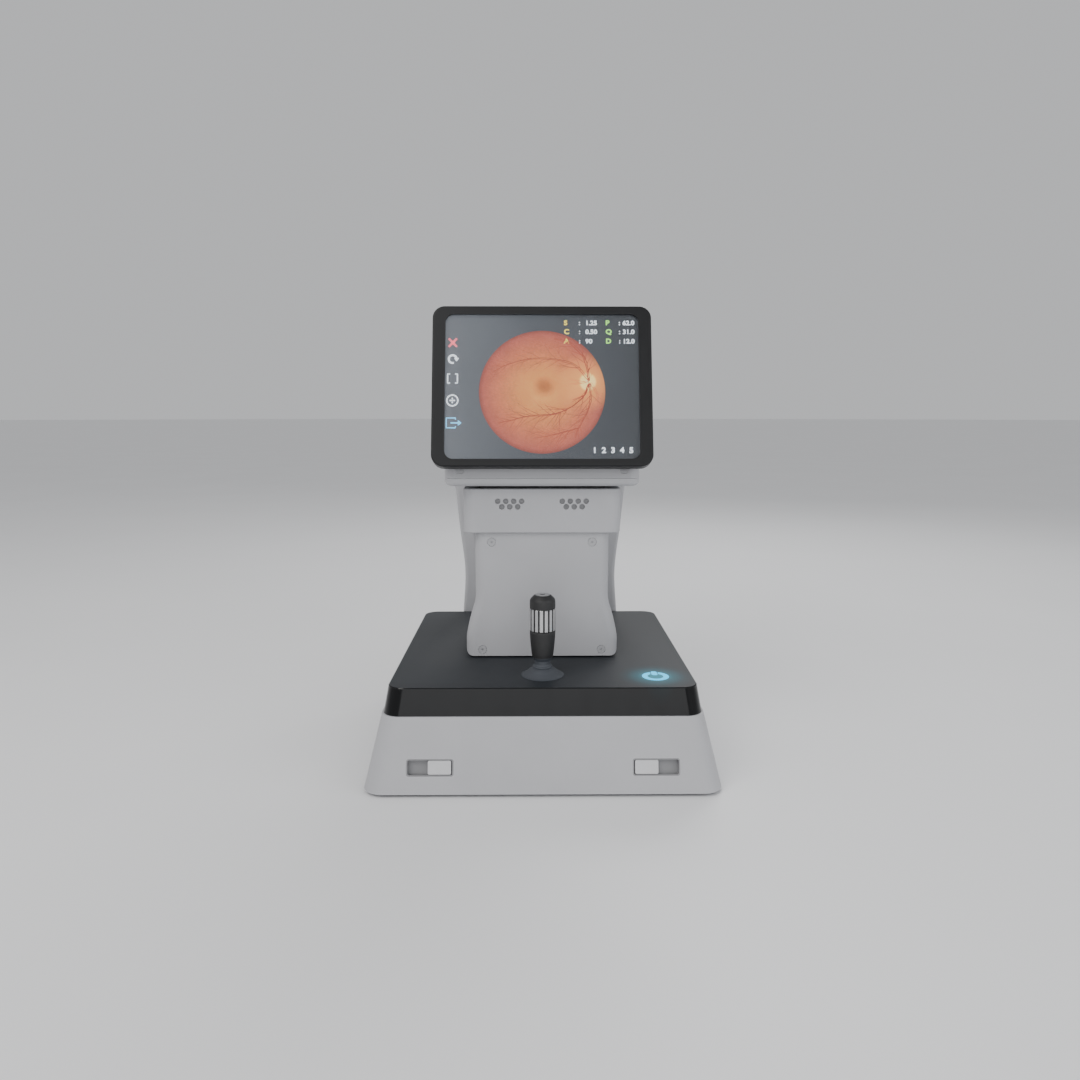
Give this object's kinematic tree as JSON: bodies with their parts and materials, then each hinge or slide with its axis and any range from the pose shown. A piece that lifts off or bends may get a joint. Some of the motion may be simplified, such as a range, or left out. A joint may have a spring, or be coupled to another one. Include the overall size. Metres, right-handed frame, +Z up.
{
  "type": "table-top refractor",
  "caption": "Table-top eye refractor with joystick, alignment stage, measuring head, tilting monitor, face frame and chin rest.",
  "frame": {"origin": "on the table surface, under the middle of the instrument's plan outline", "axes": "+X to the operator's right, +Y from the operator towards the patient, +Z up"},
  "size_m": [0.31, 0.38, 0.4355],
  "materials": {
    "light_shell": "satin moulded, fine grain",
    "black_gloss": "polished",
    "charcoal_plastic": "satin",
    "black_plastic": "matte",
    "silver_ribs": "satin",
    "switch_recess": "matte",
    "switch_knob": "matte",
    "rubber_black": "matte",
    "cyan_light": "lit translucent",
    "steel": "ground",
    "plate_steel": "zinc plated",
    "aluminium": "machined",
    "motor_black": "satin",
    "lens_glass": "coated",
    "screen_glass": "polished",
    "display": "lit display",
    "pad_vinyl": "soft vinyl",
    "chin_white": "smooth"
  },
  "bodies": {
    "base": {"base_shell": "light_shell", "base_plate": "plate_steel", "rubber_feet": "rubber_black", "top_cover": "black_gloss", "power_lens": "cyan_light", "switch_trays": "switch_recess", "mains_inlet": "black_plastic", "y_rod_blocks": "aluminium", "y_guide_rods": "steel", "y_lead_screw": "steel", "power_supply": "aluminium", "joystick_collar": "black_plastic", "joystick_housing": "black_plastic", "rear_housing": "light_shell", "frame_upright_right": "light_shell", "frame_upright_left": "light_shell", "forehead_band": "light_shell", "forehead_pad": "pad_vinyl", "chin_tower": "light_shell", "chin_lift_motor": "motor_black"},
    "y_stage": {"y_carriage": "aluminium", "y_actuator": "motor_black", "x_guide_rods": "steel", "x_lead_screw": "steel"},
    "x_stage": {"x_carriage": "aluminium", "x_actuator": "motor_black", "dust_plate": "black_plastic", "column_frame": "aluminium", "z_guide_rods": "steel", "z_lead_screw": "steel", "column_front_cover": "light_shell", "column_rear_cover": "light_shell", "cover_screws": "plate_steel", "vent_box": "light_shell"},
    "head": {"neck_carriage": "aluminium", "z_actuator": "motor_black", "neck_shroud": "black_plastic", "head_tray": "light_shell", "head_cover": "light_shell", "head_screws": "plate_steel", "optical_bench": "aluminium", "objective_barrel": "aluminium", "objective_lens": "lens_glass", "camera_module": "black_plastic", "hinge_brackets": "aluminium"},
    "monitor": {"monitor_bezel": "charcoal_plastic", "touch_glass": "screen_glass", "lcd_module": "display", "monitor_back": "charcoal_plastic", "hinge_arms": "aluminium"},
    "gimbal": {"gimbal_ring": "steel"},
    "stick": {"joystick_shaft": "black_plastic", "joystick_grip": "black_plastic", "joystick_cap": "black_plastic"},
    "speed_ring": {"joystick_ring": "silver_ribs"},
    "trigger": {"trigger_button": "silver_ribs"},
    "knob_left": {"slide_knob_left": "switch_knob"},
    "knob_right": {"slide_knob_right": "switch_knob"},
    "chin_rest": {"chin_post": "steel", "chin_cup": "chin_white"}
  },
  "joints": [
    {"name": "stage_forward", "type": "slide", "parent": "base", "child": "y_stage", "axis": [0, 1, 0], "range_m": [-0.018, 0.018]},
    {"name": "stage_sideways", "type": "slide", "parent": "y_stage", "child": "x_stage", "axis": [1, 0, 0], "range_m": [-0.038, 0.038]},
    {"name": "head_lift", "type": "slide", "parent": "x_stage", "child": "head", "axis": [0, 0, 1], "range_m": [0, 0.03]},
    {"name": "monitor_tilt", "type": "hinge", "parent": "head", "child": "monitor", "pos_m": [0, -0.05418, 0.39023], "axis": [-1, 0, 0], "range_deg": [0, 40]},
    {"name": "joystick_pitch", "type": "hinge", "parent": "base", "child": "gimbal", "pos_m": [0, -0.1322, 0.08], "axis": [1, 0, 0], "range_deg": [-10, 10], "stiffness_Nm_per_rad": 1},
    {"name": "joystick_roll", "type": "hinge", "parent": "gimbal", "child": "stick", "pos_m": [0, -0.1322, 0.08], "axis": [0, 1, 0], "range_deg": [-10, 10], "stiffness_Nm_per_rad": 1},
    {"name": "speed_ring_turn", "type": "hinge", "parent": "stick", "child": "speed_ring", "pos_m": [0, -0.1322, 0.141], "axis": [0, 0, 1], "continuous": true},
    {"name": "trigger_press", "type": "slide", "parent": "stick", "child": "trigger", "axis": [0, 0, -1], "range_m": [0, 0.0016], "stiffness_N_per_m": 500, "springref_m": -0.0006},
    {"name": "left_switch_slide", "type": "slide", "parent": "base", "child": "knob_left", "axis": [-1, 0, 0], "range_m": [0, 0.016]},
    {"name": "right_switch_slide", "type": "slide", "parent": "base", "child": "knob_right", "axis": [1, 0, 0], "range_m": [0, 0.016]},
    {"name": "chin_lift", "type": "slide", "parent": "base", "child": "chin_rest", "axis": [0, 0, 1], "range_m": [-0.025, 0.03]}
  ]
}
